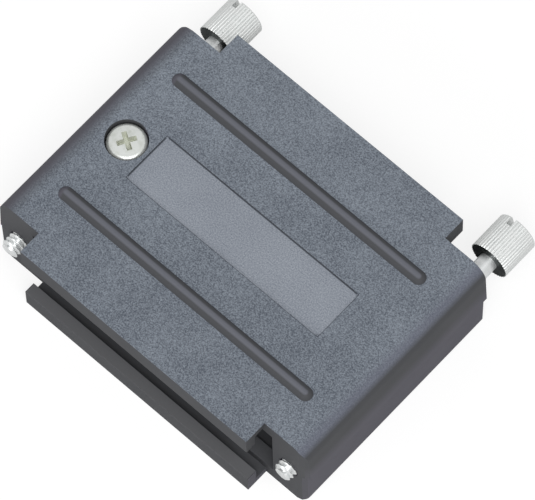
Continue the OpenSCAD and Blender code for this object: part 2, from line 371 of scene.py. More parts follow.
class Graph:
    """Short spelling for building a material's nodes."""

    def __init__(self, name: str) -> None:
        """Starts an empty material.

        Args:
            name: the material's name.
        """
        self.made = bpy.data.materials.new(name)
        self.made.use_nodes = True
        self.tree = self.made.node_tree
        self.tree.nodes.clear()
        self.out = self.add("ShaderNodeOutputMaterial")

    def add(self, kind: str, **settings: Any) -> bpy.types.Node:
        """Adds a node.

        Args:
            kind: the node's type.
            **settings: values of its sockets, by their names in lower case with
                underscores, or of its properties.

        Returns:
            The node.
        """
        node = self.tree.nodes.new(kind)
        sockets = {s.name.lower().replace(" ", "_"): s for s in node.inputs if s.enabled}
        for key, value in settings.items():
            if key in sockets:
                sockets[key].default_value = value
            else:
                setattr(node, key, value)
        return node

    def link(self, start: bpy.types.NodeSocket, end: bpy.types.NodeSocket) -> None:
        """Joins two sockets."""
        self.tree.links.new(start, end)

    def position(self) -> bpy.types.NodeSocket:
        """The point on the piece, in its own coordinates."""
        return self.add("ShaderNodeTexCoord").outputs["Object"]

    def parts(self, vector: bpy.types.NodeSocket) -> tuple[bpy.types.NodeSocket, ...]:
        """The X, Y and Z of a vector."""
        node = self.add("ShaderNodeSeparateXYZ")
        self.link(vector, node.inputs[0])
        return tuple(node.outputs)

    def looks(self) -> tuple[bpy.types.NodeSocket, ...]:
        """How far the surface looks along the scene's X, Y and Z, from -1 to 1."""
        return self.parts(self.add("ShaderNodeNewGeometry").outputs["Normal"])

    def spot(self) -> Spot:
        """The point's place and the way that its surface looks."""
        x, y, z = self.parts(self.position())
        right, back, _ = self.looks()
        return Spot(x, y, z, right, back)

    def noise(self, scale: float, detail: float, rough: float = 0.5) -> bpy.types.NodeSocket:
        """Noise over the piece.

        Args:
            scale: repeats per metre.
            detail: octaves.
            rough: weight of the finer octaves.

        Returns:
            The noise's socket.
        """
        node = self.add("ShaderNodeTexNoise", scale=scale, detail=detail, roughness=rough)
        self.link(self.position(), node.inputs["Vector"])
        return node.outputs["Fac"]

    def ramp(
        self,
        value: bpy.types.NodeSocket,
        low: float,
        high: float,
        start: float = 0.0,
        end: float = 1.0,
    ) -> bpy.types.NodeSocket:
        """A value mapped from one range to another and clamped.

        Args:
            value: the socket to map.
            low: input that gives start.
            high: input that gives end.
            start: result at low.
            end: result at high.

        Returns:
            The mapped socket.
        """
        node = self.add("ShaderNodeMapRange", from_min=low, from_max=high, to_min=start, to_max=end)
        self.link(value, node.inputs["Value"])
        return node.outputs["Result"]

    def feed(self, value: Feed, socket: bpy.types.NodeSocket) -> None:
        """Gives a socket a fixed value, a colour or another socket's result.

        Args:
            value: what to give.
            socket: the input that takes it.
        """
        if isinstance(value, bpy.types.NodeSocket):
            self.link(value, socket)
        elif isinstance(value, tuple):
            socket.default_value = (*value, 1.0)
        else:
            socket.default_value = value

    def calc(self, operation: str, *values: Feed) -> bpy.types.NodeSocket:
        """The result of a sum on sockets and numbers.

        Args:
            operation: the math node's operation.
            *values: its inputs in order.

        Returns:
            The result's socket.
        """
        node = self.add("ShaderNodeMath", operation=operation)
        for socket, value in zip(node.inputs, values):
            self.feed(value, socket)
        return node.outputs[0]

    def product(self, first: Feed, *others: Feed) -> bpy.types.NodeSocket:
        """The product of sockets and numbers.

        Args:
            first: the first factor.
            *others: the other factors.

        Returns:
            The product's socket.
        """
        result = first
        for value in others:
            result = self.calc("MULTIPLY", result, value)
        return result

    def mix(self, amount: Feed, first: Feed, second: Feed) -> bpy.types.NodeSocket:
        """A colour between two colours.

        Args:
            amount: 0 for the first colour and 1 for the second.
            first: linear colour or socket.
            second: linear colour or socket.

        Returns:
            The mixed colour's socket.
        """
        node = self.add("ShaderNodeMix", data_type="RGBA")
        # For colours the factor, A and B are inputs 0, 6 and 7 and the result is output 2.
        for index, value in ((0, amount), (6, first), (7, second)):
            self.feed(value, node.inputs[index])
        return node.outputs[2]

    def bump(
        self, height: bpy.types.NodeSocket, depth: float, strength: float
    ) -> bpy.types.NodeSocket:
        """Surface normals tipped by a height.

        Args:
            height: the height's socket, 0 to 1.
            depth: real depth in metres of a height of 1.
            strength: how much of it is used.

        Returns:
            The normal's socket.
        """
        node = self.add("ShaderNodeBump", distance=depth, strength=strength)
        self.link(height, node.inputs["Height"])
        return node.outputs["Normal"]


class Finish:
    """A finish that builds its material once and hands it out again."""

    _made: dict[str, bpy.types.Material] = {}

    def material(self) -> bpy.types.Material:
        """The finish's material, built on first use."""
        key = repr(self)
        if key not in Finish._made:
            Finish._made[key] = self.build()
        return Finish._made[key]

    def build(self) -> bpy.types.Material:
        """Builds the material."""
        raise NotImplementedError


@dataclass(frozen=True)
class GrainedPlastic(Finish):
    """Matt moulded plastic, spark-eroded on its top and its underside, with painted light and shade
    in its colours.

    A field with two values gives where a mask starts to change and where it
    has changed, unless it says otherwise.

    Attributes:
        light: colour of the grain's crests; the grain is lighter than the plain
            sides partly from the real grain and partly as painted light on the flat top.
        dark: colour of the grain's pits.
        plain: colour of the smooth sides, ribs and lips.
        soft: painted light: a lighter colour on faces that look left, on the left
        rounded edge and on the lower half of faces that look right.
        crown: painted highlight colour along a rib's crown.
        painted_right_edge_light: painted light colour of the right rounded edge.
        inner: painted light: a lighter colour of the smooth inside, seen through the mouths, where
            shade falls.
        label_low: darker colour of the smooth label field.
        label_high: lighter colour of the smooth label field.
        painted_shade_outline: painted shade: dark colour of the thin line around the label field's
            sunk edge.
        label_half: half length and half depth of the label field.
        label_above: height above which a point can lie in the label field.
        line: width of the painted shade line around the label field.
        top: height of the flat top.
        rib: rise of a rib over the flat top.
        rib_foot: rises over the flat top at which a rib's plain side begins.
        crown_highlight_depth: depths under a rib's crown at which its painted highlight begins.
        rounding: radius of the rounded edge.
        rounding_turn: depths under the top, as shares of that radius, between
        which the right rounded edge takes its painted light colour.
        inside: half width, half depth, upper and lower height of the inside.
        lip: share of the inside's painted light colour on the lips' inner faces.
        lip_step: depth over which the lips' share begins.
        fade: height over which the grain ends at a notch or a lip.
        fade_end: share of that height, next to the flat, in which the grain is whole.
        run_out: height over which the grain runs out on a rounded edge.
        edge_from: distance from the middle past which an edge's masks count, which
            no rib reaches.
        bare: distances from the middle between which the grain runs out on the left.
        soft_height: heights between which the ends' painted light ends on faces that look right.
        along_y: looks towards Y, either way, at which a face stops being an end's.
        facing_right: looks to the right at which a face counts as looking right.
        facing_left: looks to the right at which a face stops counting as looking left.
        grain: grains per metre.
        grain_range: noise levels of the darkest pits and of the lightest crests.
        patches: broad patches per metre.
        patch_range: noise levels between which a broad patch changes.
        patch_shift: shift of the grain's noise in a broad patch, either way.
        half_size: half length and half depth over which the two drifts run.
        left_drift: shift of the grain's noise towards its light colour at the left,
            and away from it at the right.
        back_drift: the same shift at the back, and away from it at the front.
        edge_grain: share of the grain's colours on the right rounded edge.
        rough: roughness.
        rough_spread: change of the roughness in a broad patch, either way.
        pit_depth: depth of the grain's pits.
        plain_relief: share of that depth on the plain sides.
        label_relief: share of that depth in the label field.
    """

    # Grain colours: real grain, lighter than plain partly as painted light on the flat top.
    light: Colour = srgb(148, 156, 166)
    dark: Colour = srgb(84, 90, 100)
    plain: Colour = srgb(79, 80, 83)
    # Painted light on the ends, lighter than plain.
    soft: Colour = srgb(95, 94, 102)
    # Painted highlight on the rib crowns.
    crown: Colour = srgb(108, 110, 118)
    # Painted light on the right rounded edge.
    painted_right_edge_light: Colour = srgb(104, 106, 119)
    # Painted light on the inside, where shade falls.
    inner: Colour = srgb(138, 138, 140)
    label_low: Colour = srgb(122, 128, 139)
    label_high: Colour = srgb(167, 173, 182)
    # Painted shade along the label field's sunk edge.
    painted_shade_outline: Colour = srgb(84, 89, 97)
    label_half: tuple[float, float] = (16.65 * MM, 3.975 * MM)
    label_above: float = 15.5 * MM
    line: float = 0.14 * MM
    top: float = 16.6 * MM
    rib: float = 0.7 * MM
    rib_foot: tuple[float, float] = (0.02 * MM, 0.08 * MM)
    crown_highlight_depth: tuple[float, float] = (0.1 * MM, 0.02 * MM)
    rounding: float = 2.7 * MM
    rounding_turn: tuple[float, float] = (0.55, 0.26)
    inside: tuple[float, float, float, float] = (19.45 * MM, 18.95 * MM, 13.1 * MM, 3.5 * MM)
    lip: float = 0.25
    lip_step: float = 0.01 * MM
    fade: float = 0.04 * MM
    fade_end: float = 0.1
    run_out: float = 0.5 * MM
    edge_from: float = 23.6 * MM
    bare: tuple[float, float] = (23.2 * MM, 26.0 * MM)
    soft_height: tuple[float, float] = (9.0 * MM, 11.8 * MM)
    along_y: tuple[float, float] = (0.3, 0.6)
    facing_right: tuple[float, float] = (0.6, 0.8)
    facing_left: tuple[float, float] = (-0.3, -0.05)
    grain: float = 5400.0
    grain_range: tuple[float, float] = (0.3, 0.72)
    patches: float = 160.0
    patch_range: tuple[float, float] = (0.3, 0.7)
    patch_shift: float = 0.04
    half_size: tuple[float, float] = (27.0 * MM, 20.0 * MM)
    left_drift: float = 0.015
    back_drift: float = 0.02
    edge_grain: float = 0.35
    rough: float = 0.6
    rough_spread: float = 0.04
    pit_depth: float = 0.06 * MM
    plain_relief: float = 0.15
    label_relief: float = 0.3

    def in_label(self, graph: Graph, spot: Spot, inset: float) -> bpy.types.NodeSocket:
        """1 inside the label field seen from above and 0 outside it.

        Args:
            graph: the material's nodes.
            spot: the point that is coloured.
            inset: how far the field is drawn in on each side.

        Returns:
            The mask's socket.
        """
        mask = graph.calc("GREATER_THAN", spot.z, self.label_above)
        for along, half in zip((spot.x, spot.y), self.label_half):
            away = graph.calc("ABSOLUTE", along)
            mask = graph.product(mask, graph.calc("LESS_THAN", away, half - inset))
        return mask

    def inside_light_mask(self, graph: Graph, spot: Spot) -> bpy.types.NodeSocket:
        """Where the inside's painted light goes: 1 inside the hood, less on the lips' inner faces and
        0 elsewhere.

        Args:
            graph: the material's nodes.
            spot: the point that is coloured.

        Returns:
            The mask's socket.
        """
        width, depth, high, low = self.inside
        out = graph.calc("ABSOLUTE", spot.y)
        mask = graph.ramp(out, depth, depth + self.lip_step, 1.0, self.lip)
        under = graph.calc("LESS_THAN", spot.z, high)
        over = graph.calc("GREATER_THAN", spot.z, low)
        near = graph.calc("LESS_THAN", graph.calc("ABSOLUTE", spot.x), width)
        return graph.product(mask, under, over, near)

    def on_right_edge(
        self, graph: Graph, spot: Spot, across: bpy.types.NodeSocket
    ) -> bpy.types.NodeSocket:
        """Where the right rounded edge's painted light goes: 1 on the right end's rounded edge, with
        a fade to 0 where it turns upright.

        Args:
            graph: the material's nodes.
            spot: the point that is coloured.
            across: 1 on a face that doesn't look towards Y.

        Returns:
            The mask's socket.
        """
        begin, full = (self.top - share * self.rounding for share in self.rounding_turn)
        curve = graph.ramp(spot.z, begin, full)
        right = graph.calc("GREATER_THAN", spot.x, self.edge_from)
        return graph.product(across, curve, right)

    def ends_light_mask(
        self, graph: Graph, spot: Spot, across: bpy.types.NodeSocket, kept: bpy.types.NodeSocket
    ) -> bpy.types.NodeSocket:
        """Where the ends' painted light goes: 1 on faces that look left, on the left rounded edge and
        low on those that look right.

        Args:
            graph: the material's nodes.
            spot: the point that is coloured.
            across: 1 on a face that doesn't look towards Y.
            kept: 0 at the left rounded edge and 1 away from it.

        Returns:
            The mask's socket.
        """
        low = graph.ramp(spot.z, *self.soft_height, 1.0, 0.0)
        low_right = graph.product(low, graph.ramp(spot.right, *self.facing_right))
        left = graph.ramp(spot.right, *self.facing_left, 1.0, 0.0)
        left_edge = graph.product(across, graph.calc("SUBTRACT", 1.0, kept))
        return graph.calc("MAXIMUM", low_right, graph.calc("MAXIMUM", left, left_edge))

    def with_grain(
        self,
        graph: Graph,
        spot: Spot,
        across: bpy.types.NodeSocket,
        kept: bpy.types.NodeSocket,
    ) -> bpy.types.NodeSocket:
        """1 on the flat top and underside, less on the rounded edges and 0 elsewhere; the flat top's
        painted light comes with it.

        Args:
            graph: the material's nodes.
            spot: the point that is coloured.
            across: 1 on a face that doesn't look towards Y.
            kept: 0 at the left rounded edge and 1 away from it.

        Returns:
            The mask's socket.
        """
        whole = self.fade_end * self.fade
        above = graph.ramp(spot.z, self.top - self.fade, self.top - whole)
        below = graph.ramp(spot.z, whole, self.fade, 1.0, 0.0)
        last = graph.ramp(spot.z, self.top - self.run_out, self.top)
        outer = graph.calc("GREATER_THAN", graph.calc("ABSOLUTE", spot.x), self.edge_from)
        edges = graph.product(across, last, outer)
        above = graph.product(graph.calc("MAXIMUM", above, edges), kept)
        on_rib = graph.ramp(spot.z, *(self.top + rise for rise in self.rib_foot))
        return graph.calc("SUBTRACT", graph.calc("MAXIMUM", above, below), on_rib)

    def speckle(
        self, graph: Graph, spot: Spot, fine: bpy.types.NodeSocket, broad: bpy.types.NodeSocket
    ) -> bpy.types.NodeSocket:
        """0 in the grain's pits and 1 on its crests, with a drift over the hood.

        Args:
            graph: the material's nodes.
            spot: the point that is coloured.
            fine: the grain's noise.
            broad: the noise of the broad patches.

        Returns:
            The value's socket.
        """
        length, depth = self.half_size
        shift, left, back = self.patch_shift, self.left_drift, self.back_drift
        patch = graph.ramp(broad, *self.patch_range, -shift, shift)
        along = graph.ramp(spot.x, -length, length, left, -left)
        away = graph.ramp(spot.y, -depth, depth, -back, back)
        drift = graph.calc("ADD", patch, graph.calc("ADD", along, away))
        return graph.ramp(graph.calc("ADD", fine, drift), *self.grain_range)

    def build(self) -> bpy.types.Material:
        """Grain on the top and the underside, plain sides, and painted light and shade on the flat
        top, the ends, the right rounded edge, the rib crowns, the inside and the label's outline.
        """
        graph = Graph("hood_plastic")
        spot = graph.spot()
        fine = graph.noise(self.grain, detail=2.0, rough=0.6)
        broad = graph.noise(self.patches, detail=3.0)
        across = graph.ramp(graph.calc("ABSOLUTE", spot.back), *self.along_y, 1.0, 0.0)
        kept = graph.ramp(spot.x, *(-distance for distance in reversed(self.bare)))
        speck = self.speckle(graph, spot, fine, broad)
        # The grain's colours are lighter than the plain sides partly from the real grain and partly
        # as painted light on the flat top.
        grained = graph.mix(speck, self.dark, self.light)
        flat = self.with_grain(graph, spot, across, kept)
        label = self.in_label(graph, spot, self.line)

        # Painted light: the ends' lighter colour, by the way a face looks and by height.
        ends = graph.mix(self.ends_light_mask(graph, spot, across, kept), self.plain, self.soft)
        # Painted light on the right rounded edge, with a share of grain.
        rounded = graph.mix(self.edge_grain, self.painted_right_edge_light, grained)
        sides = graph.mix(self.on_right_edge(graph, spot, across), ends, rounded)
        # Painted light: the lighter inside, where shade falls between the lips.
        hollow = graph.mix(self.inside_light_mask(graph, spot), sides, self.inner)
        moulded = graph.mix(flat, hollow, grained)
        rib_top = self.top + self.rib
        # Painted highlight along each rib's crown.
        crown_highlight_mask = graph.ramp(spot.z, *(rib_top - depth for depth in self.crown_highlight_depth))
        ribbed = graph.mix(crown_highlight_mask, moulded, self.crown)
        # Painted shade: the dark line around the label field's sunk edge.
        shade_lined = graph.mix(self.in_label(graph, spot, 0.0), ribbed, self.painted_shade_outline)
        field = graph.mix(speck, self.label_low, self.label_high)

        shader = graph.add("ShaderNodeBsdfPrincipled", metallic=0.0, ior=1.5, specular_ior_level=0.12)
        graph.link(graph.mix(label, shade_lined, field), shader.inputs["Base Color"])
        smooth, dull = self.rough - self.rough_spread, self.rough + self.rough_spread
        graph.link(graph.ramp(broad, *self.patch_range, smooth, dull), shader.inputs["Roughness"])
        in_field = graph.ramp(label, 0.0, 1.0, 1.0, self.label_relief)
        relief = graph.product(graph.ramp(flat, 0.0, 1.0, self.plain_relief, 1.0), in_field)
        pits = graph.product(fine, relief)
        graph.link(graph.bump(pits, self.pit_depth, strength=0.7), shader.inputs["Normal"])
        graph.link(shader.outputs[0], graph.out.inputs["Surface"])
        return graph.made


@dataclass(frozen=True)
class StainedMetal(Finish):
    """Metal from bright to dull, with faint stains.

    Attributes:
        title: the material's name.
        colour: main colour.
        stain: colour in the stained patches.
        rough: roughness of the clean metal.
        metallic: share of metal.
        face: painted shade: darker colour of the faces that look along -Y, or None for the main
            colour.
        shaded_face_looks: looks towards +Y at which that painted shade begins to end and has ended.
        stains: stains per metre.
        stain_range: noise levels at which a stain begins and is full.
        dulling: what a full stain adds to the roughness.
        marks: fine marks per metre.
        mark_depth: depth of the fine marks.
    """

    title: str
    colour: Colour
    stain: Colour
    rough: float
    metallic: float = 1.0
    face: Colour | None = None
    shaded_face_looks: tuple[float, float] = (-0.97, -0.9)
    stains: float = 900.0
    stain_range: tuple[float, float] = (0.45, 0.75)
    dulling: float = 0.12
    marks: float = 9000.0
    mark_depth: float = 0.004 * MM

    def build(self) -> bpy.types.Material:
        """Stains and roughness from a broad noise, with a hair of bump, and painted shade on faces
        that look along -Y when face is set.
        """
        graph = Graph(self.title)
        broad = graph.noise(self.stains, detail=4.0, rough=0.6)
        fine = graph.noise(self.marks, detail=2.0)
        patch = graph.ramp(broad, *self.stain_range)
        colour = graph.mix(patch, self.colour, self.stain)
        # Painted shade on the faces that look along -Y.
        if self.face is not None:
            _, back, _ = graph.looks()
            facing = graph.ramp(back, *self.shaded_face_looks, 1.0, 0.0)
            colour = graph.mix(facing, colour, self.face)
        shader = graph.add("ShaderNodeBsdfPrincipled", metallic=self.metallic)
        graph.link(colour, shader.inputs["Base Color"])
        dull = self.rough + self.dulling
        graph.link(graph.ramp(patch, 0.0, 1.0, self.rough, dull), shader.inputs["Roughness"])
        graph.link(graph.bump(fine, self.mark_depth, strength=0.5), shader.inputs["Normal"])
        graph.link(shader.outputs[0], graph.out.inputs["Surface"])
        return graph.made


PLASTIC = GrainedPlastic()
SCREW_STEEL = StainedMetal(
    "screw_steel", srgb(232, 235, 232), srgb(206, 210, 202), rough=0.3, metallic=0.55
)
RECESS_STEEL = StainedMetal(
    "recess_steel", srgb(208, 211, 198), srgb(186, 188, 176), rough=0.6, metallic=0.3
)
STUD_STEEL = StainedMetal(
    "stud_steel", srgb(240, 242, 242), srgb(222, 226, 226), rough=0.36, metallic=0.85
)
PALE_NICKEL = StainedMetal(
    "thumb_nickel",
    srgb(231, 233, 232),
    srgb(221, 224, 223),
    rough=0.42,
    metallic=0.9,
    # Painted shade on the heads' near faces, by the hood.
    face=srgb(64, 70, 69),
)
SPRING_STEEL = StainedMetal(
    "spring_steel", srgb(150, 150, 152), srgb(120, 118, 115), rough=0.35
)


# ---------------------------------------------------------- sub-assemblies


@dataclass
class Shells:
    """The two moulded halves, as softened copies of their exact solids.

    Attributes:
        edge: radius on every sharp edge.
        edge_steps: flats on that radius.
        edge_angle: smallest angle of an edge that gets the radius, in degrees.
        flat_angle: faces that meet at less are made one, in degrees.
        smooth_angle: smallest angle that is shaded sharp, in degrees.
        nodes: the CAD nodes of the two halves.
    """

    edge: float = 0.16 * MM
    edge_steps: int = 2
    edge_angle: float = 40.0
    flat_angle: float = 0.4
    smooth_angle: float = 25.0
    nodes: tuple[str, str] = ("upper_shell", "lower_shell")

    def soften(self, node: str) -> bpy.types.Mesh:
        """A merged copy of a shell's mesh with its flat faces made whole.

        Args:
            node: the CAD node to copy.

        Returns:
            The copy.
        """
        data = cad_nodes()[node].data.copy()
        work = bmesh.new()
        work.from_mesh(data)
        bmesh.ops.remove_doubles(work, verts=work.verts, dist=2.0 * MERGE)
        limit = math.radians(self.flat_angle)
        bmesh.ops.dissolve_limit(
            work, angle_limit=limit, verts=work.verts, edges=work.edges, delimit=set()
        )
        work.to_mesh(data)
        work.free()
        return data

    def build(self) -> None:
        """Makes both halves and gives their edges a small radius."""
        for node in self.nodes:
            mesh = self.soften(node)
            piece = place(f"{node}_moulding", mesh, "hood", PLASTIC)
            smooth_by_angle(mesh, self.smooth_angle)
            bevel = piece.modifiers.new("mould_edges", "BEVEL")
            bevel.width = self.edge
            bevel.segments = self.edge_steps
            bevel.limit_method = "ANGLE"
            bevel.angle_limit = math.radians(self.edge_angle)
            bevel.use_clamp_overlap = True
            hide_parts(node)


@dataclass
class ClosingScrews:
    """Pan head machine screws with cross recesses.

    Attributes:
        head_height: height of the pan head.
        head_radius: outside radius of the pan head.
        dome: rise of the head's top over a flat.
        shoulder: radius of the head's upper edge.
        under_bevel: bevel of the head's lower edge.
        shank_radius: outside radius of the thread.
        tip_bevel: bevel of the shank's tip.
        thread_pitch: pitch of the screw thread.
        thread_depth: depth of the thread as a share of the shank's radius.
        cross_width: width of a recess arm at the surface.
        cross_length: length across the recess at the surface.
        cross_depth: depth of the recess.
        cross_taper: size of the recess's floor as a share of its mouth.
        cross_turn: turn of the recess round the screw, in degrees.
        smooth_angle: smallest angle that is shaded sharp, in degrees.
        pitch_rings: rings of the mesh on one pitch.
        curve_rings: rings of the mesh on the shoulder, and again on the crown.
        around: points on a ring.
    """

    head_height: float = 2.03 * MM
    head_radius: float = 2.75 * MM
    dome: float = 0.15 * MM
    shoulder: float = 0.7 * MM
    under_bevel: float = 0.08 * MM
    shank_radius: float = 1.38 * MM
    tip_bevel: float = 0.3 * MM
    thread_pitch: float = 0.635 * MM
    thread_depth: float = 0.16
    cross_width: float = 0.78 * MM
    cross_length: float = 3.0 * MM
    cross_depth: float = 0.9 * MM
    cross_taper: float = 0.62
    cross_turn: float = 60.0
    smooth_angle: float = 38.0
    pitch_rings: int = 8
    curve_rings: int = 14
    around: int = 64

    def head_profile(self, radius: float, top: float) -> tuple[Array, Array]:
        """Profile of the pan head, from under its edge to its crown.

        Radius and height follow a quarter circle at the shoulder and then a
        shallow parabola up to the crown, which ends in a tiny ring.

        Args:
            radius: the head's outside radius.
            top: Z of the crown.

        Returns:
            Radii and heights.
        """
        base = top - self.head_height
        flat = radius - self.shoulder
        turn = np.linspace(0.0, math.pi / 2.0, self.curve_rings)
        shoulder_r = flat + self.shoulder * np.cos(turn)
        shoulder_z = top - self.dome - self.shoulder * (1.0 - np.sin(turn))
        last_ring = 0.02
        share = np.linspace(1.0, last_ring, self.curve_rings)[1:]
        crown_r = flat * share
        crown_z = top - self.dome * share**2
        edge_r = [self.shank_radius, radius - self.under_bevel, radius]
        edge_z = [base, base, base + self.under_bevel]
        radii = np.concatenate([edge_r, shoulder_r[1:], crown_r])
        heights = np.concatenate([edge_z, shoulder_z[1:], crown_z])
        return radii, heights

    def screw(self, node: str) -> Surface:
        """A whole screw that stands head up on the origin.

        Args:
            node: the CAD node that gives its size.

        Returns:
            The surface before its recess is cut.
        """
        low, high, _ = node_box(node)
        length = high[2] - low[2]
        neck = length - self.head_height
        step = self.thread_pitch / self.pitch_rings
        shank_z = np.arange(self.tip_bevel, neck, step)[1:]
        tip_r = [self.shank_radius - self.tip_bevel, self.shank_radius]
        head_r, head_z = self.head_profile((high[0] - low[0]) / 2.0, length)
        r = np.concatenate([tip_r, np.full(len(shank_z), self.shank_radius), head_r])
        z = np.concatenate([[0.0, self.tip_bevel], shank_z, head_z])

        def thread(angle: Array, height: Array) -> Array:
            """1 less the thread's groove, which ends one pitch under the head."""
            groove = thread_groove(angle, height, self.thread_pitch, self.thread_depth)
            return np.where(height < neck - self.thread_pitch, 1.0 - groove, 1.0)

        return turned(r, z, self.around, thread)

    def recess(self, top: float) -> list[Surface]:
        """The two crossed, tapered arms of the driver recess.

        Args:
            top: Z of the head's crown.

        Returns:
            The surfaces to cut away.
        """
        half_w, half_l = self.cross_width / 2.0, self.cross_length / 2.0
        overshoot = 0.2 * MM
        low = np.array([-half_l, -half_w, top - self.cross_depth])
        high = np.array([half_l, half_w, top + overshoot])
        arm = block(low, high, self.cross_taper)
        quarter = np.array([[0.0, -1.0, 0.0], [1.0, 0.0, 0.0], [0.0, 0.0, 1.0]])
        spun = about_z(self.cross_turn)
        return [arm.moved(spun), arm.moved(quarter).moved(spun)]

    def mark_recess(self, mesh: bpy.types.Mesh, top: float) -> None:
        """Gives the recess's faces material number 1.

        A face is in the recess when its middle lies inside the cross's circle,
        under the crown's parabola and not under the cross's floor.

        Args:
            mesh: the cut screw, standing on its tip.
            top: Z of the crown.
        """
        circle_slack, crown_slack, floor_slack = 0.1 * MM, 0.02 * MM, 0.01 * MM
        middles = np.zeros(len(mesh.polygons) * 3)
        mesh.polygons.foreach_get("center", middles)
        x, y, z = middles.reshape(-1, 3).T
        out = np.hypot(x, y)
        flat = self.head_radius - self.shoulder
        crown = top - self.dome * out**2 / flat**2
        deep = (out < self.cross_length / 2.0 + circle_slack) & (z < crown - crown_slack)
        deep &= z > top - self.cross_depth - floor_slack
        mesh.polygons.foreach_set("material_index", deep.astype(np.int32))

    def build(self) -> None:
        """Makes both screws; the lower one stands on its head."""
        upright, over = np.eye(3), np.diag([-1.0, 1.0, -1.0])
        for node, turn in (("closing_screw_top", upright), ("closing_screw_bottom", over)):
            low, high, middle = node_box(node)
            length = high[2] - low[2]
            cut = cut_away(self.screw(node).mesh("screw_blank"), self.recess(length))
            self.mark_recess(cut, length)
            tip_z = low[2] if turn is upright else high[2]
            move_mesh(cut, turn, np.array([middle[0], middle[1], tip_z]))
            smooth_by_angle(cut, self.smooth_angle)
            piece = place(f"{node}_piece", cut, "hood", SCREW_STEEL, RECESS_STEEL)
            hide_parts(node)


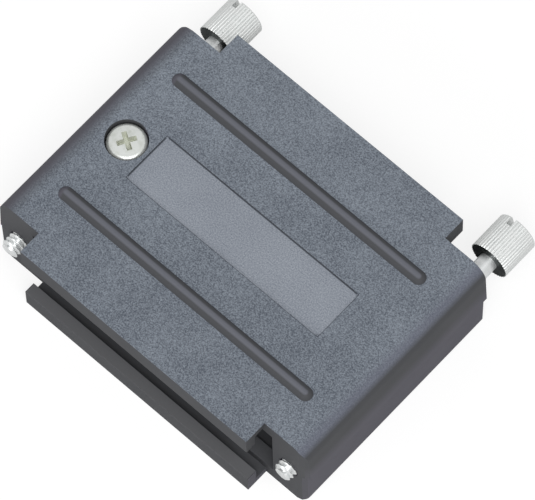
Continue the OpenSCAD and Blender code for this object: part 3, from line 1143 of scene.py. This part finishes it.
@dataclass
class Thumbscrew:
    """One captive thumbscrew: its knurled head and its threaded stud.

    Both are made along a local Z that runs along -Y, so the head's near end,
    by the hood, and the stud's tip are at their upper ends.

    Attributes:
        side: which end of the hood it is at.
        slot_turn: turn of the slot away from upright, in degrees.
        ridges: ridges of the straight knurl.
        ridge_points: points of the mesh on one ridge.
        ridge_depth: depth of the knurl's valleys.
        run_in: length over which the valleys open out at the near end.
        chamfer: bevel of the head's far end.
        chamfer_rings: rings of the mesh on that bevel.
        slot_width: width of the driver slot.
        slot_depth: depth of the driver slot.
        thread_pitch: pitch of the thread.
        thread_length: length of the thread.
        thread_depth: depth of the thread as a share of its outside radius.
        pitch_rings: rings of the mesh on one pitch.
        around: points on a ring of the stud.
        shank_radius: radius of the smooth shank.
        neck_radius: radius of the stud in the clip's groove.
        clip_play: room beside the clip in its groove, on each side.
        end_bevel: bevel of the stud's end in the head.
        tip_bevel: bevel of the stud's tip.
        head_smooth: smallest angle of the head that is shaded sharp, in degrees.
        stud_smooth: smallest angle of the stud that is shaded sharp, in degrees.
    """

    side: Side
    slot_turn: float
    ridges: int = 40
    ridge_points: int = 12
    ridge_depth: float = 0.08 * MM
    run_in: float = 0.3 * MM
    chamfer: float = 0.12 * MM
    chamfer_rings: int = 4
    slot_width: float = 0.8 * MM
    slot_depth: float = 1.2 * MM
    thread_pitch: float = 0.635 * MM
    thread_length: float = 5.5 * MM
    thread_depth: float = 0.25
    pitch_rings: int = 10
    around: int = 72
    shank_radius: float = 1.325 * MM
    neck_radius: float = 0.95 * MM
    clip_play: float = 0.05 * MM
    end_bevel: float = 0.1 * MM
    tip_bevel: float = 0.3 * MM
    head_smooth: float = 35.0
    stud_smooth: float = 40.0

    def lay(self, mesh: bpy.types.Mesh, node: str) -> None:
        """Moves a mesh made along local Z onto this screw's axis.

        Args:
            mesh: the mesh to move.
            node: the CAD node that gives the axis.
        """
        middle = node_box(node)[2]
        along_minus_y = np.array([[1.0, 0.0, 0.0], [0.0, 0.0, -1.0], [0.0, 1.0, 0.0]])
        move_mesh(mesh, along_minus_y, np.array([middle[0], 0.0, middle[2]]))

    def finish_piece(self, node: str, mesh: bpy.types.Mesh, finish: Finish) -> None:
        """Puts the head or the stud in the scene in its node's place.

        Args:
            node: the CAD node that it replaces.
            mesh: its mesh, along local Z.
            finish: the finish that it wears.
        """
        piece = place(f"{node}_piece", mesh, f"thumbscrew_{self.side.value}", finish)
        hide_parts(node)

    def make_head(self) -> None:
        """A bar with rounded ridges and a slot across its far end."""
        node = f"thumbscrew_head_{self.side.value}"
        low, high, _ = node_box(node)
        radius = (high[0] - low[0]) / 2.0
        near, far = -low[1], -high[1]
        start = near - self.run_in
        inner = radius - 2.0 * self.ridge_depth - self.chamfer
        step = np.linspace(0.0, 1.0, self.chamfer_rings)
        end_r = np.array([inner * 0.5, inner])
        bevel_r = radius - self.chamfer * (1.0 - step)
        bevel_z = far + self.chamfer * step
        r = np.concatenate([end_r, bevel_r, [radius, radius], end_r[::-1]])
        z = np.concatenate([[far, far], bevel_z, [start, near, near, near]])

        def knurl(angle: Array, height: Array) -> Array:
            """1 less the valleys, with no valleys on the four rings of the end faces.

            With s = |sin(angle * ridges / 2)| a valley's depth follows
            (1 - s) squared and goes over to twice 1 - s at the near end.
            """
            opened = np.clip((height - start) / self.run_in, 0.0, 1.0)
            wave = 1.0 - np.abs(np.sin(angle * self.ridges / 2.0))
            valley = (1.0 + opened) * wave ** (2.0 - opened)
            outside = np.zeros_like(height)
            outside[2:-2] = 1.0
            return 1.0 - self.ridge_depth / radius * valley * outside

        bar = turned(r, z, self.ridges * self.ridge_points, knurl)
        # The slot's cutter reaches past the head's far end and its side.
        overshoot = 1.0 * MM
        half_w, half_l = self.slot_width / 2.0, 1.3 * radius
        slot = block(
            np.array([-half_w, -half_l, far - overshoot]),
            np.array([half_w, half_l, far + self.slot_depth]),
        )
        mesh = cut_away(bar.mesh("head_blank"), [slot.moved(about_z(self.slot_turn))])
        self.lay(mesh, node)
        smooth_by_angle(mesh, self.head_smooth)
        self.finish_piece(node, mesh, PALE_NICKEL)

    def make_stud(self) -> None:
        """A stud whose thread is a ridge that climbs one pitch a turn."""
        node = f"thumbscrew_stud_{self.side.value}"
        low, high, _ = node_box(node)
        clip_low, clip_high, _ = node_box(f"retaining_clip_{self.side.value}")
        thread_r = (high[0] - low[0]) / 2.0
        tip, end = -low[1], -high[1]
        start, full = tip - self.thread_length, tip - self.tip_bevel
        groove = (-clip_high[1] - self.clip_play, -clip_low[1] + self.clip_play)
        shank, neck, bevel = self.shank_radius, self.neck_radius, self.end_bevel
        plain_z = [end, end + bevel, groove[0], groove[0], groove[1], groove[1], start, start]
        plain_r = [shank - bevel, shank, shank, neck, neck, shank, shank, thread_r]
        thread_z = np.arange(start, full, self.thread_pitch / self.pitch_rings)[1:]
        z = np.concatenate([plain_z, thread_z, [full, tip]])
        tip_r = [thread_r, thread_r - self.tip_bevel]
        r = np.concatenate([plain_r, np.full(len(thread_z), thread_r), tip_r])

        def thread(angle: Array, height: Array) -> Array:
            """1 less the thread's groove, which fades in over the first half pitch."""
            groove = thread_groove(angle, height, self.thread_pitch, self.thread_depth)
            fade = np.clip((height - start) / (0.5 * self.thread_pitch), 0.0, 1.0)
            return 1.0 - groove * fade * (height > start)

        mesh = turned(r, z, self.around, thread).mesh(f"{node}_mesh")
        self.lay(mesh, node)
        smooth_by_angle(mesh, self.stud_smooth)
        self.finish_piece(node, mesh, STUD_STEEL)

    def build(self) -> None:
        """Makes the head and the stud."""
        self.make_head()
        self.make_stud()


@dataclass
class SmallParts:
    """Nuts and clips, which keep their exact solids and get their finishes.

    Attributes:
        nuts: the CAD nodes of the closing screws' nuts.
        clips: the CAD nodes of the retaining clips.
    """

    nuts: tuple[str, ...] = ("closing_nut_lower", "closing_nut_upper")
    clips: tuple[str, ...] = ("retaining_clip_left", "retaining_clip_right")

    def build(self) -> None:
        """Gives each nut and clip its finish."""
        for names, finish in ((self.nuts, SCREW_STEEL), (self.clips, SPRING_STEEL)):
            for name in names:
                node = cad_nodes()[name]
                node.data.materials.clear()
                node.data.materials.append(finish.material())
                LOG.info("%s keeps its exact solid", name)


# ------------------------------------------------------------------ studio


@dataclass
class Camera:
    """The view: a long lens that looks down on the front right corner.

    Attributes:
        azimuth: direction of view round Z in degrees, 0 looking along +Y.
        elevation: height over the horizon in degrees.
        roll: turn of the picture in degrees.
        distance: from the hood's middle, in metres.
        shift_right: the middle's place right of the axis, in metres.
        shift_up: the middle's place above the axis, in metres.
        lens: focal length in millimetres.
        sensor: width of the sensor in millimetres.
        nearest: nearest distance that is drawn, in metres.
        farthest: farthest distance that is drawn, in metres.
    """

    azimuth: float = 44.154
    elevation: float = 66.633
    roll: float = -1.982
    distance: float = 0.8187
    shift_right: float = -3.167 * MM
    shift_up: float = -1.459 * MM
    lens: float = 426.78
    sensor: float = 36.0
    nearest: float = 0.05
    farthest: float = 20.0

    def build(self, middle: Vector) -> None:
        """Makes the camera and sets it as the scene's.

        Args:
            middle: the point that the distance is measured from.
        """
        az, el, roll = (math.radians(v) for v in (self.azimuth, self.elevation, self.roll))
        look = Vector((-math.sin(az) * math.cos(el), math.cos(az) * math.cos(el), -math.sin(el)))
        level = look.cross(Vector((0.0, 0.0, 1.0))).normalized()
        above = level.cross(look)
        right = level * math.cos(roll) + above * math.sin(roll)
        up = above * math.cos(roll) - level * math.sin(roll)
        stand = middle - look * self.distance - right * self.shift_right - up * self.shift_up
        data = bpy.data.cameras.new("camera")
        data.lens = self.lens
        data.sensor_width = self.sensor
        data.clip_start = self.nearest
        data.clip_end = self.farthest
        camera = bpy.data.objects.new("camera", data)
        turn = Matrix((right, up, -look)).transposed().to_4x4()
        camera.matrix_world = Matrix.Translation(stand) @ turn
        bpy.context.scene.collection.objects.link(camera)
        bpy.context.scene.camera = camera


@dataclass(frozen=True)
class Lamp:
    """One square soft lamp that faces the hood.

    Attributes:
        name: the lamp's name.
        offset: where it hangs, from the hood's middle.
        width: its width in metres.
        power: its power in watts.
    """

    name: str
    offset: tuple[float, float, float]
    width: float
    power: float

    def build(self, middle: Vector) -> None:
        """Hangs the lamp.

        Args:
            middle: the hood's middle, which it faces.
        """
        at = middle + Vector(self.offset)
        data = bpy.data.lights.new(self.name, "AREA")
        data.size = self.width
        data.energy = self.power
        item = bpy.data.objects.new(self.name, data)
        item.location = at
        item.rotation_euler = (middle - at).to_track_quat("-Z", "Y").to_euler()
        bpy.context.scene.collection.objects.link(item)


@dataclass
class Studio:
    """White floor, an even sky and two soft lamps.

    Attributes:
        sky: strength of the even light.
        mirrored_sky: strength of the sky in reflections.
        seen_sky: strength of the sky to the camera and through clear pieces.
        paper: share of light that the camera sees the floor give back.
        bright_paper: the share that reaches the part and its reflections.
        lift: light that the camera sees added to the floor.
        floor_half: half the floor's width.
        lamps: the soft lamps.
    """

    sky: float = 0.4
    mirrored_sky: float = 0.9
    seen_sky: float = 1.0
    paper: float = 0.27
    bright_paper: float = 0.85
    lift: float = 0.79
    floor_half: float = 3.0
    lamps: tuple[Lamp, ...] = (
        Lamp("top_lamp", (0.34, -0.28, 0.8), width=0.5, power=5.1),
        Lamp("front_lamp", (-0.15, -0.7, 0.35), width=0.4, power=1.0),
    )

    def floor(self) -> None:
        """A wide white floor that keeps a faint shadow and shows white elsewhere."""
        h = self.floor_half
        corners = [(-h, -h, 0.0), (h, -h, 0.0), (h, h, 0.0), (-h, h, 0.0)]
        mesh = bpy.data.meshes.new("floor")
        mesh.from_pydata(corners, [], [(0, 1, 2, 3)])
        item = bpy.data.objects.new("floor", mesh)
        bpy.context.scene.collection.objects.link(item)
        graph = Graph("pale_floor")
        seen = graph.add("ShaderNodeLightPath").outputs["Is Camera Ray"]
        paper = graph.add("ShaderNodeBsdfDiffuse")
        shades = [(v, v, v) for v in (self.bright_paper, self.paper)]
        graph.link(graph.mix(seen, *shades), paper.inputs["Color"])
        glow = graph.add("ShaderNodeEmission")
        graph.link(graph.product(seen, self.lift), glow.inputs["Strength"])
        total = graph.add("ShaderNodeAddShader")
        graph.link(paper.outputs[0], total.inputs[0])
        graph.link(glow.outputs[0], total.inputs[1])
        graph.link(total.outputs[0], graph.out.inputs["Surface"])
        mesh.materials.append(graph.made)

    def world(self) -> None:
        """A dim even sky that is pale in reflections and white to the camera."""
        world = bpy.data.worlds.new("sky")
        bpy.context.scene.world = world
        world.use_nodes = True
        nodes, links = world.node_tree.nodes, world.node_tree.links
        nodes.clear()
        path = nodes.new("ShaderNodeLightPath")
        level: bpy.types.NodeSocket | None = None
        steps = (
            ("Is Glossy Ray", self.mirrored_sky),
            ("Is Transmission Ray", self.seen_sky),
            ("Is Camera Ray", self.seen_sky),
        )
        for ray, strength in steps:
            pick = nodes.new("ShaderNodeMapRange")
            links.new(path.outputs[ray], pick.inputs["Value"])
            pick.inputs["To Min"].default_value = self.sky
            pick.inputs["To Max"].default_value = strength
            if level is not None:
                links.new(level, pick.inputs["To Min"])
            level = pick.outputs[0]
        back = nodes.new("ShaderNodeBackground")
        links.new(level, back.inputs["Strength"])
        out = nodes.new("ShaderNodeOutputWorld")
        links.new(back.outputs[0], out.inputs["Surface"])

    def build(self, middle: Vector) -> None:
        """Makes the floor, the sky and the lamps.

        Args:
            middle: the hood's middle.
        """
        bpy.context.scene.view_settings.view_transform = "Standard"
        self.floor()
        self.world()
        for lamp in self.lamps:
            lamp.build(middle)


def main() -> None:
    """Builds the scene in order: camera, studio, shells, hardware."""
    logging.basicConfig(level=logging.INFO, format="%(name)s: %(message)s")
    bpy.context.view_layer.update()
    stud_axis = node_box("thumbscrew_stud_left")[2]
    middle = Vector((0.0, 0.0, float(stud_axis[2])))
    Camera().build(middle)
    Studio().build(middle)
    Shells().build()
    ClosingScrews().build()
    Thumbscrew(Side.LEFT, slot_turn=20.0).build()
    Thumbscrew(Side.RIGHT, slot_turn=14.0).build()
    SmallParts().build()


if __name__ == "__main__":
    main()
